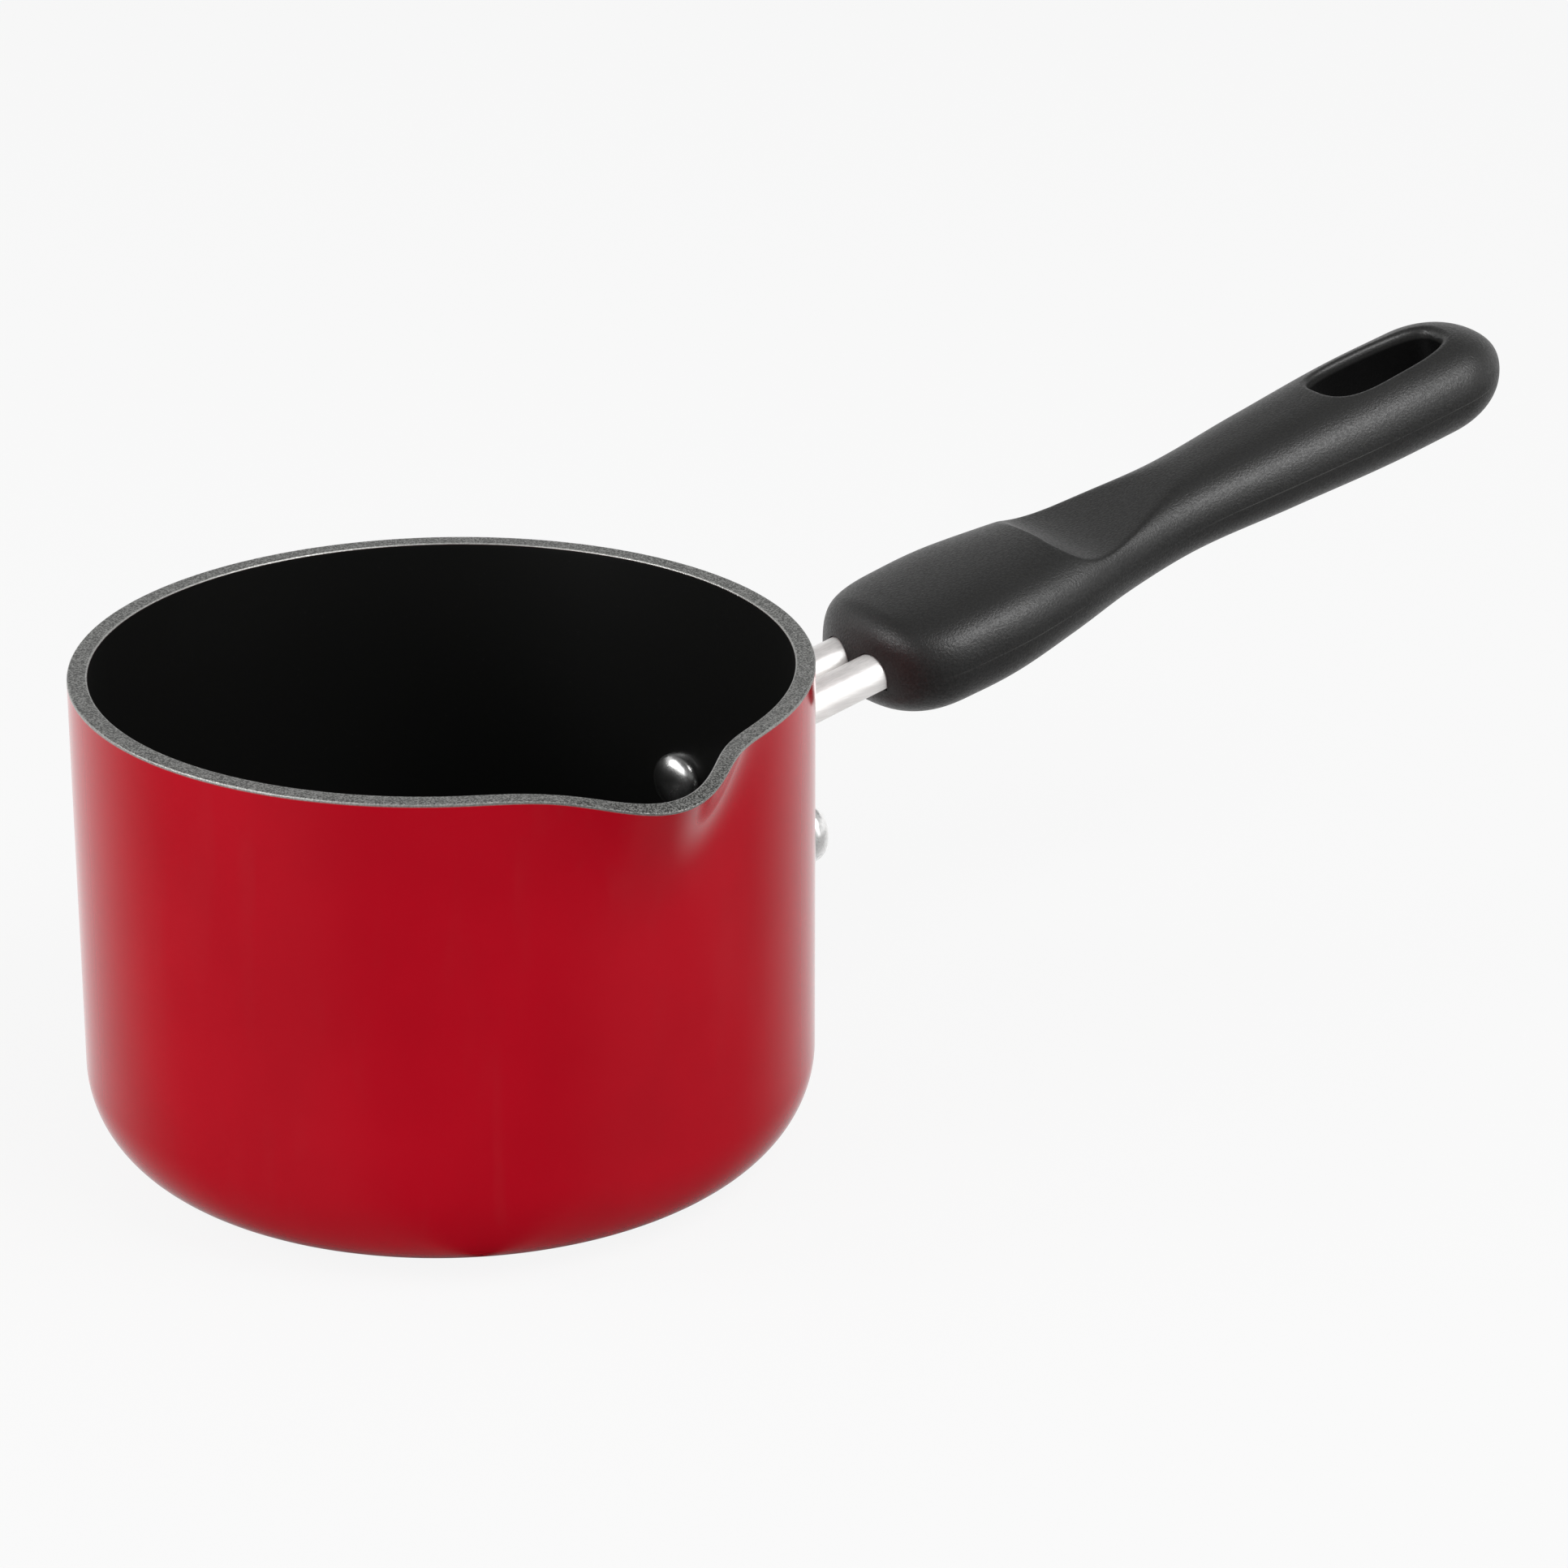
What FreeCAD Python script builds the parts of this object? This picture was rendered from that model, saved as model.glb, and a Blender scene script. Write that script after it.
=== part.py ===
import FreeCAD, Part
import math
import os
from FreeCAD import Vector

# A small milk pan: +Z up, handle along +X, pouring lip towards -Y, millimetres.
# The origin is the middle of the base on the surface that the pan stands on.

# Pan
inner_radius = 70.0
wall = 4.0
pan_height = 102.0
base_thickness = 4.5
corner_radius = 19.5
groove_count = 4
groove_pitch = 10.0
groove_width = 1.6
groove_depth = 0.4

# Pouring lip, drawn out of the wall and trimmed along a gentle curve
lip_direction = -89.4
lip_reach = 14.0
lip_height = 34.0
lip_half_angle = 39.0
lip_foot_angle = 20.0
lip_sharpness = 9
lip_trim_start = 2.0
lip_trim_radius = 36.0

# Bracket pressed from sheet
sheet = 1.8
rib_radius = 5.0
rib_gap = 2.0
rib_skirt = 1.4
neck_drop = 0.4
neck_inside = 20.0
plate_height = 36.0
plate_edge = 9.0
plate_corner = 7.0
plate_neck_margin = 2.5
tongue_length = 26.0
tongue_width = 18.0

# Rivets through the wall and the bracket
rivet_diameter = 6.0
rivet_head_diameter = 12.6
rivet_outer_height = 4.8
rivet_inner_height = 3.4
rivet_spacing = 40.0
rivet_level = 54.4

# Handle
handle_start = 98.5
handle_level = 79.4
handle_tilt = 12.8
handle_length = 170.5
nose_round = 15.0
nose_bluntness = 2.6
nose_narrowing = 0.12
spade_place = 29.5
spade_half_width = 22.2
spade_above = 11.6
spade_below = 11.4
waist_place = 81.0
waist_half_width = 13.6
waist_above = 9.4
waist_below = 8.7
end_from_tip = 33.5       # where the end is widest
end_half_width = 16.2
end_above = 11.2
end_below = 10.6
end_round = 18.0
end_bluntness = 2.1
fullness = 0.63
ledge_place = 45.5
ledge_depth = 3.6
ledge_round = 2.5
slot_from_tip = 40.0      # middle of the slot's wide end
slot_front_radius = 7.0
slot_back_radius = 4.8
slot_pitch = 21.5
slot_round = 1.5

# Handle screw, washer and insert
screw_diameter = 5.0
screw_length = 12.5
screw_seat = 3.0
screw_head_diameter = 9.0
screw_head_height = 3.2
screw_recess = 4.6
screw_recess_width = 1.3
screw_recess_depth = 1.8
washer_thickness = 1.2
washer_diameter = 8.8
washer_slit = 1.2
insert_diameter = 8.0
insert_length = 7.0

clearance = 0.1
head_room = 0.5

rib_spacing = 2 * rib_radius + rib_gap
outer_radius = inner_radius + wall
plate_radius = outer_radius + sheet
rivet_angle = math.degrees(math.asin(rivet_spacing / 2 / plate_radius))
slope = math.tan(math.radians(handle_tilt))
end_place = handle_length - end_from_tip
slot_place = handle_length - slot_from_tip


def polar(radius, degrees, z):
    turn = math.radians(degrees)
    return Vector(radius * math.cos(turn), radius * math.sin(turn), z)


def line(a, b):
    return Part.LineSegment(a, b).toShape()


def arc(a, b, c):
    return Part.Arc(a, b, c).toShape()


def extrude(edges, along):
    return Part.Face(Part.Wire(edges)).extrude(along)


# Pan body

def wall_section(radius, z):
    # the wall's outline at one height, drawn out into the lip near the rim
    share = max(0, 1 - (pan_height - z) / lip_height)
    half = lip_foot_angle + (lip_half_angle - lip_foot_angle) * share
    reach = lip_reach * share ** 2
    steps = 16
    points = []
    for i in range(steps + 1):
        across = 2 * i / steps - 1
        bulge = reach * (1 - across ** 2) ** lip_sharpness
        points.append(polar(radius + bulge, lip_direction + half * across, z))
    lip = Part.BSplineCurve()
    start = Vector(-points[0].y, points[0].x, 0)
    end = Vector(-points[-1].y, points[-1].x, 0)
    lip.interpolate(Points=points, InitialTangent=start, FinalTangent=end)
    rest = arc(points[-1], polar(radius, lip_direction + 180, z), points[0])
    return Part.Wire([lip.toShape(), rest])


def vessel(radius, floor, corner):
    # a round-cornered cup as a solid, with the lip drawn out of its upper part
    foot = pan_height - lip_height
    heights = [floor + (foot - floor) * i / 3 for i in range(3)]
    heights += [foot + lip_height * i / 5 for i in range(6)]
    cup = Part.makeLoft([wall_section(radius, z) for z in heights], True, False)
    bottom = [edge for edge in cup.Edges if edge.BoundBox.ZMax < floor + clearance]
    return cup.makeFillet(corner, bottom)


def rim_trim():
    # what is cut away so that the rim falls along an arc towards the tip of the lip
    start = outer_radius - lip_trim_start
    end = outer_radius + lip_reach + wall
    middle = (start + end) / 2
    above = pan_height + wall
    def at(x, z):
        return Vector(x, -outer_radius, z)
    def fall(x):
        return at(x, pan_height - lip_trim_radius + math.sqrt(lip_trim_radius ** 2 - (x - start) ** 2))
    trim = extrude([
        arc(fall(start), fall(middle), fall(end)),
        line(fall(end), at(end, above)),
        line(at(end, above), at(start, above)),
        line(at(start, above), fall(start)),
    ], Vector(0, 2 * outer_radius, 0))
    trim.rotate(Vector(0, 0, 0), Vector(0, 0, 1), lip_direction)
    return trim


def rivet_axis(side):
    return polar(1, side * rivet_angle, 0)


def rivet_hole(side):
    start = rivet_axis(side) * (inner_radius - wall) + Vector(0, 0, rivet_level)
    return Part.makeCylinder(rivet_diameter / 2 + clearance / 2, 4 * wall, start, rivet_axis(side))


def pan_body():
    body = vessel(outer_radius, 0, corner_radius)
    body = body.cut(vessel(inner_radius, base_thickness, corner_radius - wall))
    body = body.cut(rim_trim())
    # rings turned into the flat of the base
    for i in range(groove_count):
        ring = Part.makeCylinder((i + 1) * groove_pitch, groove_depth)
        body = body.cut(ring.cut(Part.makeCylinder((i + 1) * groove_pitch - groove_width, groove_depth)))
    for side in (-1, 1):
        body = body.cut(rivet_hole(side))
    return body.removeSplitter()


# Handle frame: a point at a distance from the pan's axis, on the plane where the mould parted

def parting(x):
    return handle_level + slope * (x - handle_start)


def along(distance):
    return Vector(distance, 0, distance * slope)


# Bracket

def neck_outline(grow, filled):
    # an M of two rounded ribs, drawn at the start of the handle
    x = handle_start
    level = parting(x) - neck_drop
    half = rib_spacing / 2
    outer = rib_radius + grow
    inner = rib_radius - sheet
    valley = half - outer
    web = half - inner
    skirt = max(rib_skirt, web) if filled else rib_skirt
    low = level - skirt - grow
    crest = level + outer
    dip = level - valley
    edges = [
        line(Vector(x, -half - outer, low), Vector(x, -half - outer, level)),
        arc(Vector(x, -half - outer, level), Vector(x, -half, crest), Vector(x, -valley, level)),
        arc(Vector(x, -valley, level), Vector(x, 0, dip), Vector(x, valley, level)),
        arc(Vector(x, valley, level), Vector(x, half, crest), Vector(x, half + outer, level)),
        line(Vector(x, half + outer, level), Vector(x, half + outer, low)),
    ]
    if filled:
        edges.append(line(Vector(x, half + outer, low), Vector(x, -half - outer, low)))
        return edges
    top = level + inner
    edges += [
        line(Vector(x, half + outer, low), Vector(x, half + inner, low)),
        line(Vector(x, half + inner, low), Vector(x, half + inner, level)),
        arc(Vector(x, half + inner, level), Vector(x, half, top), Vector(x, web, level)),
        arc(Vector(x, web, level), Vector(x, 0, level - web), Vector(x, -web, level)),
        arc(Vector(x, -web, level), Vector(x, -half, top), Vector(x, -half - inner, level)),
        line(Vector(x, -half - inner, level), Vector(x, -half - inner, low)),
        line(Vector(x, -half - inner, low), Vector(x, -half - outer, low)),
    ]
    return edges


screw_place = handle_start + neck_inside + tongue_length / 2
tongue_end = handle_start + neck_inside + tongue_length


def tongue_level(x):
    # underside of the flat tongue, level with the lowest sheet of the neck's valley
    web = rib_spacing / 2 - rib_radius + sheet
    return parting(x) - neck_drop - web


def tongue_blank(grow):
    # a flat tongue with a round end
    half = tongue_width / 2 + grow
    start = handle_start + neck_inside - sheet
    end = tongue_end - tongue_width / 2
    def at(x, y):
        return Vector(x, y, tongue_level(x) - grow)
    return extrude([
        line(at(start, -half), at(end, -half)),
        arc(at(end, -half), at(end + half, 0), at(end, half)),
        line(at(end, half), at(start, half)),
        line(at(start, half), at(start, -half)),
    ], Vector(0, 0, sheet + 2 * grow))


def screw_cylinder(radius, low, high):
    # a round bar on the screw's axis, its heights measured from the underside of the tongue
    return Part.makeCylinder(radius, high - low, screw_point(low), screw_up)


def tongue():
    return tongue_blank(0).cut(screw_cylinder(screw_diameter / 2 + clearance, -sheet, 3 * sheet))


screw_up = Vector(-math.sin(math.radians(handle_tilt)), 0, math.cos(math.radians(handle_tilt)))


def screw_point(height):
    # a point on the screw's axis, measured from the underside of the tongue
    return Vector(screw_place, 0, tongue_level(screw_place)) + screw_up * height


def plate():
    # a foot curved to the wall, wide at the rivets and narrow at the neck
    wide = rivet_spacing / 2 + plate_edge
    narrow = rib_spacing / 2 + rib_radius + plate_neck_margin
    bottom = rivet_level - plate_edge
    top = bottom + plate_height
    step = rivet_level + plate_edge
    def at(y, z):
        return Vector(0, y, z)
    c = plate_corner
    k = c * (1 - math.sqrt(0.5))
    right = [
        arc(at(wide - c, bottom), at(wide - k, bottom + k), at(wide, bottom + c)),
        line(at(wide, bottom + c), at(wide, step - c)),
        arc(at(wide, step - c), at(wide - k, step - k), at(wide - c, step)),
        line(at(wide - c, step), at(narrow, top - c)),
        arc(at(narrow, top - c), at(narrow - k, top - k), at(narrow - c, top)),
    ]
    left = [edge.mirror(Vector(0, 0, 0), Vector(0, 1, 0)) for edge in right]
    ends = [
        line(at(narrow - c, top), at(c - narrow, top)),
        line(at(c - wide, bottom), at(wide - c, bottom)),
    ]
    outline = Part.Wire(Part.__sortEdges__(right + left + ends))
    blank = Part.Face(outline).extrude(Vector(2 * outer_radius, 0, 0))
    ring = Part.makeCylinder(plate_radius, pan_height).cut(Part.makeCylinder(outer_radius, pan_height))
    return blank.common(ring)


def handle_bracket():
    back = outer_radius / 2 - handle_start
    ribs = extrude(neck_outline(0, False), along(neck_inside))
    root = extrude(neck_outline(0, False), along(back))
    root = root.cut(Part.makeCylinder(outer_radius, 2 * pan_height))
    bracket = plate().fuse([root, ribs, tongue()])
    for side in (-1, 1):
        bracket = bracket.cut(rivet_hole(side))
    return bracket.removeSplitter()


# Rivets

def dome(radius, height, start, axis):
    # a spherical cap standing on a short straight edge
    ball_radius = (radius ** 2 + height ** 2) / (2 * height)
    ball = Part.makeSphere(ball_radius, start + axis * (height - ball_radius))
    return ball.common(Part.makeCylinder(radius, 2 * height, start - axis * (height / 2), axis))


def rivet(side):
    axis = rivet_axis(side)
    level = Vector(0, 0, rivet_level)
    head = rivet_head_diameter / 2
    shank_start = inner_radius - rivet_inner_height / 2
    shank_length = plate_radius + rivet_outer_height / 2 - shank_start
    shank = Part.makeCylinder(rivet_diameter / 2, shank_length, axis * shank_start + level, axis)
    # each head is formed against the curved face that it closes on
    sag = head ** 2 / (2 * inner_radius)
    outer = dome(head, rivet_outer_height + sag, axis * (plate_radius - sag) + level, axis)
    outer = outer.cut(Part.makeCylinder(plate_radius, pan_height))
    inner = dome(head, rivet_inner_height, axis * inner_radius + level, axis * -1)
    bore = Part.makeCylinder(inner_radius, pan_height)
    return shank.fuse([outer, inner.common(bore)]).removeSplitter()


# Handle

def quarter(x, side, height):
    # from the side of the section to its crown or keel, fuller than an ellipse
    z = parting(x)
    curve = Part.BezierCurve()
    curve.setPoles([
        Vector(x, side, z),
        Vector(x, side, z + height * fullness),
        Vector(x, side * fullness, z + height),
        Vector(x, 0, z + height),
    ])
    return curve.toShape()


def handle_section(x, half, above, below):
    return Part.Wire([
        quarter(x, half, above),
        quarter(x, -half, above),
        quarter(x, -half, -below),
        quarter(x, half, -below),
    ])


def between(low, high, share):
    return tuple(a + (b - a) * share for a, b in zip(low, high))


def capped(share, bluntness):
    # how full a rounded end is at a share of its depth
    return (1 - (1 - share) ** bluntness) ** (1 / bluntness)


def handle_blank():
    # half-width, height above and depth below the parting plane at the spade, the waist and the end
    spade = (spade_half_width, spade_above, spade_below)
    waist = (waist_half_width, waist_above, waist_below)
    end = (end_half_width, end_above, end_below)
    nose = between(spade, waist, nose_narrowing)
    rows = []
    for share in (0.006, 0.08, 0.25, 0.55):
        rows.append((nose_round * share, [capped(share, nose_bluntness) * size for size in nose]))
    rows.append((spade_place * 0.6, between(nose, spade, 0.8)))
    rows.append((spade_place, spade))
    rows.append((ledge_place, between(spade, waist, 0.25)))
    rows.append((between((ledge_place,), (waist_place,), 0.5)[0], between(spade, waist, 0.72)))
    rows.append((waist_place, waist))
    rows.append((between((waist_place,), (end_place,), 0.5)[0], between(waist, end, 0.5)))
    rows.append((end_place, end))
    rows.append((handle_length - end_round, end))
    for share in (0.6, 0.3, 0.1, 0.01):
        fill = capped(share, end_bluntness)
        rows.append((handle_length - end_round * share, [fill * size for size in end]))
    sections = [handle_section(handle_start + place, *sizes) for place, sizes in rows]
    return Part.makeLoft(sections, True, False)


def scoop():
    # the hollow behind the thumb ledge, its floor rising to the waist
    ledge = handle_start + ledge_place
    foot = ledge + ledge_round
    waist = handle_start + waist_place
    floor = spade_above - ledge_depth
    high = 2 * spade_above
    width = 2 * spade_half_width
    def at(x, height):
        return Vector(x, -width / 2, parting(x) + height)
    bend = math.sqrt(0.5) * ledge_round
    return extrude([
        line(at(ledge, high), at(ledge, floor + ledge_round)),
        arc(at(ledge, floor + ledge_round), at(foot - bend, floor + ledge_round - bend), at(foot, floor)),
        line(at(foot, floor), at(waist, waist_above)),
        line(at(waist, waist_above), at(waist, high)),
        line(at(waist, high), at(ledge, high)),
    ], Vector(0, width, 0))


def hanging_slot():
    # a rounded slot, wider towards the pan, square to the plane where the mould parted
    lean = math.asin((slot_front_radius - slot_back_radius) / slot_pitch)
    depth = 2 * (end_above + end_below)
    front = handle_start + slot_place
    back = front + slot_pitch
    def at(x, y):
        return Vector(x, y, parting(x)) - screw_up * (depth / 2)
    def edge(x, radius, side):
        return at(x + radius * math.sin(lean), side * radius * math.cos(lean))
    return extrude([
        arc(edge(front, slot_front_radius, 1), at(front - slot_front_radius, 0),
            edge(front, slot_front_radius, -1)),
        line(edge(front, slot_front_radius, -1), edge(back, slot_back_radius, -1)),
        arc(edge(back, slot_back_radius, -1), at(back + slot_back_radius, 0),
            edge(back, slot_back_radius, 1)),
        line(edge(back, slot_back_radius, 1), edge(front, slot_front_radius, 1)),
    ], screw_up * depth)


def edges_on(body, tool, across):
    # the edges that a cut has left on the body's surface, apart from those that run along the cut
    skin = tool.Shells[0]
    found = []
    for edge in body.Edges:
        a, b = edge.ParameterRange
        points = [edge.valueAt(a + (b - a) * share) for share in (0.2, 0.5, 0.8)]
        if max(skin.distToShape(Part.Vertex(p))[0] for p in points) > clearance / 10:
            continue
        if abs(edge.tangentAt((a + b) / 2).dot(across)) < 0.9:
            found.append(edge)
    return found


def handle():
    body = handle_blank().cut(scoop())
    slot = hanging_slot()
    body = body.cut(slot)
    body = body.makeFillet(slot_round, edges_on(body, slot, screw_up))
    socket = extrude(neck_outline(clearance, True), along(neck_inside + clearance))
    body = body.cut(socket).cut(tongue_blank(clearance))
    head = screw_head_diameter / 2 + head_room
    body = body.cut(screw_cylinder(head, -screw_seat - 2 * spade_below, -screw_seat))
    body = body.cut(screw_cylinder(screw_diameter / 2 + clearance, -screw_seat - sheet, sheet))
    body = body.cut(screw_cylinder(insert_diameter / 2, sheet, sheet + clearance + insert_length))
    return body


# Handle fixing

def threaded_insert():
    bottom = sheet + clearance
    body = screw_cylinder(insert_diameter / 2, bottom, bottom + insert_length)
    return body.cut(screw_cylinder(screw_diameter / 2 + clearance / 2, 0, bottom + 2 * insert_length))


def handle_screw():
    seat = -screw_seat - washer_thickness
    shank = screw_cylinder(screw_diameter / 2, seat, seat + screw_length)
    head = screw_cylinder(screw_head_diameter / 2, seat - screw_head_height, seat)
    low = seat - screw_head_height
    rim = [edge for edge in head.Edges if edge.CenterOfMass.isEqual(screw_point(low), clearance)]
    head = head.makeFillet(screw_head_height / 3, rim)
    body = head.fuse(shank).removeSplitter()
    for turn in (0, 90):
        bar = Part.makeBox(screw_recess, screw_recess_width, screw_recess_depth)
        bar.translate(Vector(-screw_recess / 2, -screw_recess_width / 2, 0))
        bar.rotate(Vector(0, 0, 0), Vector(0, 0, 1), turn)
        bar.rotate(Vector(0, 0, 0), Vector(0, 1, 0), -handle_tilt)
        bar.translate(screw_point(low))
        body = body.cut(bar)
    return body


def spring_washer():
    seat = -screw_seat - washer_thickness
    ring = screw_cylinder(washer_diameter / 2, seat, seat + washer_thickness)
    ring = ring.cut(screw_cylinder(screw_diameter / 2 + clearance, seat - sheet, seat + 2 * washer_thickness))
    slit = Part.makeBox(washer_diameter, washer_slit, 3 * washer_thickness)
    slit.translate(Vector(0, -washer_slit / 2, -washer_thickness))
    slit.rotate(Vector(0, 0, 0), Vector(0, 1, 0), -handle_tilt)
    slit.translate(screw_point(seat))
    return ring.cut(slit)


os.makedirs("parts", exist_ok=True)
pieces = {
    "pan_body": pan_body(),
    "handle_bracket": handle_bracket(),
    "rivet_left": rivet(1),
    "rivet_right": rivet(-1),
    "handle": handle(),
    "threaded_insert": threaded_insert(),
    "handle_screw": handle_screw(),
    "spring_washer": spring_washer(),
}
for name, shape in pieces.items():
    shape.exportStep("parts/" + name + ".step")
    print(name, shape.isValid(), len(shape.Solids), round(shape.Volume, 1), shape.BoundBox)
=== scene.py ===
import math
import bmesh
import bpy
import numpy as np
from mathutils import Matrix, Vector


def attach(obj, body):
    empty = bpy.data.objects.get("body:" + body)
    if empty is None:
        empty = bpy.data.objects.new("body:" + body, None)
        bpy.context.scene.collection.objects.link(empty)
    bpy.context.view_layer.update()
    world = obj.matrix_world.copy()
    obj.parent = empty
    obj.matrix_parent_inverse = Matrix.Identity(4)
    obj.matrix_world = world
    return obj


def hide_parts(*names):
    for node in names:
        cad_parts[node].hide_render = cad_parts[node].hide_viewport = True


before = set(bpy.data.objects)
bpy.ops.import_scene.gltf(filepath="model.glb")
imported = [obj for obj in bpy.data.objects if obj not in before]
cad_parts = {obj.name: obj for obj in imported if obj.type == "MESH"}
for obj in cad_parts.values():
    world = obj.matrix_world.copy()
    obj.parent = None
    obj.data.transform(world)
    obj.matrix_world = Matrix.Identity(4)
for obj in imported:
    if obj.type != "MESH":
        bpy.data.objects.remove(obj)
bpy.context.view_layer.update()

mm = 0.001
tiny = 1e-6


# Mesh building

def gridFaces(rows, columns, wrap, first):
    # quads between neighbouring points of a rows x columns grid, numbered row by row
    index = first + np.arange(rows * columns).reshape(rows, columns)
    if wrap:
        index = np.concatenate([index, index[:, :1]], axis=1)
    corners = [index[:-1, :-1], index[1:, :-1], index[1:, 1:], index[:-1, 1:]]
    return np.stack(corners, axis=-1).reshape(-1, 4)


def makePiece(name, grids, sharpAngle=40, weld=0.0005):
    # grids holds (points in mm, wrap, marks): one closed skin is welded from them
    points, faces, marks = [], [], []
    first = 0
    for grid, wrap, mark in grids:
        rows, columns = grid.shape[:2]
        points.append(grid.reshape(-1, 3) * mm)
        faces.append(gridFaces(rows, columns, wrap, first))
        marks.append(np.broadcast_to(mark, (rows, columns)).reshape(-1))
        first += rows * columns
    mesh = bpy.data.meshes.new(name)
    mesh.from_pydata(np.concatenate(points).tolist(), [], np.concatenate(faces).tolist())
    layer = mesh.attributes.new("mark", "FLOAT", "POINT")
    layer.data.foreach_set("value", np.concatenate(marks).astype(np.float32))
    bm = bmesh.new()
    bm.from_mesh(mesh)
    bmesh.ops.remove_doubles(bm, verts=bm.verts, dist=weld * mm)
    bmesh.ops.recalc_face_normals(bm, faces=bm.faces)
    bm.to_mesh(mesh)
    bm.free()
    finishShading(mesh, sharpAngle)
    piece = bpy.data.objects.new(name, mesh)
    bpy.context.scene.collection.objects.link(piece)
    openEdges = sum(1 for count in edgeUse(mesh) if count != 2)
    print(name, len(mesh.vertices), "points,", openEdges, "open edges")
    return piece


def edgeUse(mesh):
    # how many faces share each edge
    loops = np.zeros(len(mesh.loops), np.int32)
    mesh.loops.foreach_get("edge_index", loops)
    return np.bincount(loops, minlength=len(mesh.edges)).tolist()


def finishShading(mesh, sharpAngle):
    mesh.polygons.foreach_set("use_smooth", np.ones(len(mesh.polygons), bool))
    mesh.set_sharp_from_angle(angle=math.radians(sharpAngle))
    mesh.update()


def cutAway(piece, cutter, sharpAngle):
    # takes the cutter's room out of the piece, then drops the cutter
    change = piece.modifiers.new("cut", "BOOLEAN")
    change.operation = "DIFFERENCE"
    change.solver = "EXACT"
    change.object = cutter
    graph = bpy.context.evaluated_depsgraph_get()
    cut = bpy.data.meshes.new_from_object(piece.evaluated_get(graph))
    piece.modifiers.clear()
    piece.data = cut
    bpy.data.objects.remove(cutter)
    finishShading(cut, sharpAngle)


def arcPoints(middleA, middleB, radius, start, end, count):
    # a circular arc in a plane, from one angle to another in degrees
    turn = np.radians(np.linspace(start, end, count))
    return np.stack([middleA + radius * np.cos(turn), middleB + radius * np.sin(turn)], axis=-1)


def straight(start, end, count):
    # evenly spaced points on a straight line
    return np.linspace(start, end, count)


def smoothCurve(at, places, values):
    # cubic through the given values, its slopes taken from the neighbours on each side
    places, values = np.asarray(places, float), np.asarray(values, float)
    slopes = np.gradient(values, places)
    k = np.clip(np.searchsorted(places, at) - 1, 0, len(places) - 2)
    step = places[k + 1] - places[k]
    t = np.clip((at - places[k]) / step, 0, 1)
    fromStart = (1 + 2 * t) * (1 - t) ** 2 * values[k] + t * (1 - t) ** 2 * step * slopes[k]
    fromEnd = t ** 2 * (3 - 2 * t) * values[k + 1] - t ** 2 * (1 - t) * step * slopes[k + 1]
    return fromStart + fromEnd


def softStep(value):
    t = np.clip(value, 0, 1)
    return t * t * (3 - 2 * t)


def softMin(a, b, width):
    # the smaller of two heights, rounded where they cross
    return 0.5 * (a + b - np.sqrt((a - b) ** 2 + width ** 2))


# Material building

def addNode(tree, kind, inputs=None, **settings):
    made = tree.nodes.new(kind)
    for key, value in settings.items():
        setattr(made, key, value)
    for key, value in (inputs or {}).items():
        if isinstance(value, bpy.types.NodeSocket):
            tree.links.new(value, made.inputs[key])
        else:
            made.inputs[key].default_value = value
    return made


def mathNode(tree, operation, a, b=0.0, clamp=False):
    return addNode(tree, "ShaderNodeMath", {0: a, 1: b}, operation=operation, use_clamp=clamp).outputs[0]


def vectorNode(tree, operation, a, b=(0.0, 0.0, 0.0)):
    # puts out a vector, or a value where the operation measures
    made = addNode(tree, "ShaderNodeVectorMath", {0: a, 1: b}, operation=operation)
    measures = operation in ("LENGTH", "DOT_PRODUCT", "DISTANCE")
    return made.outputs["Value" if measures else "Vector"]


def rangeNode(tree, value, low, high, toLow=0.0, toHigh=1.0):
    made = addNode(tree, "ShaderNodeMapRange", {0: value, 1: low, 2: high, 3: toLow, 4: toHigh},
                   interpolation_type="SMOOTHSTEP")
    return made.outputs[0]


def mixColour(tree, share, a, b):
    made = addNode(tree, "ShaderNodeMix", data_type="RGBA")
    for key, value in ((0, share), (6, a), (7, b)):
        if isinstance(value, bpy.types.NodeSocket):
            tree.links.new(value, made.inputs[key])
        else:
            made.inputs[key].default_value = value
    return made.outputs[2]


def mixValue(tree, share, a, b):
    return addNode(tree, "ShaderNodeMix", {0: share, 2: a, 3: b}, data_type="FLOAT").outputs[0]


def bumpNode(tree, shader, height, values):
    bump = addNode(tree, "ShaderNodeBump", {
        "Strength": values["bump"], "Distance": values["bumpDepth"], "Height": height})
    tree.links.new(bump.outputs[0], shader.inputs["Normal"])


def markNode(tree):
    # the piece's own attribute, which tells its zones apart
    return addNode(tree, "ShaderNodeAttribute", attribute_name="mark").outputs["Fac"]


def newGroup(name, inputs, outputs):
    group = bpy.data.node_groups.new(name, "ShaderNodeTree")
    for label, kind, value in inputs:
        socket = group.interface.new_socket(label, in_out="INPUT", socket_type=kind)
        if value is not None:
            socket.default_value = value
    for label in outputs:
        group.interface.new_socket(label, in_out="OUTPUT", socket_type="NodeSocketFloat")
    return group, group.nodes.new("NodeGroupInput"), group.nodes.new("NodeGroupOutput")


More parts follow.
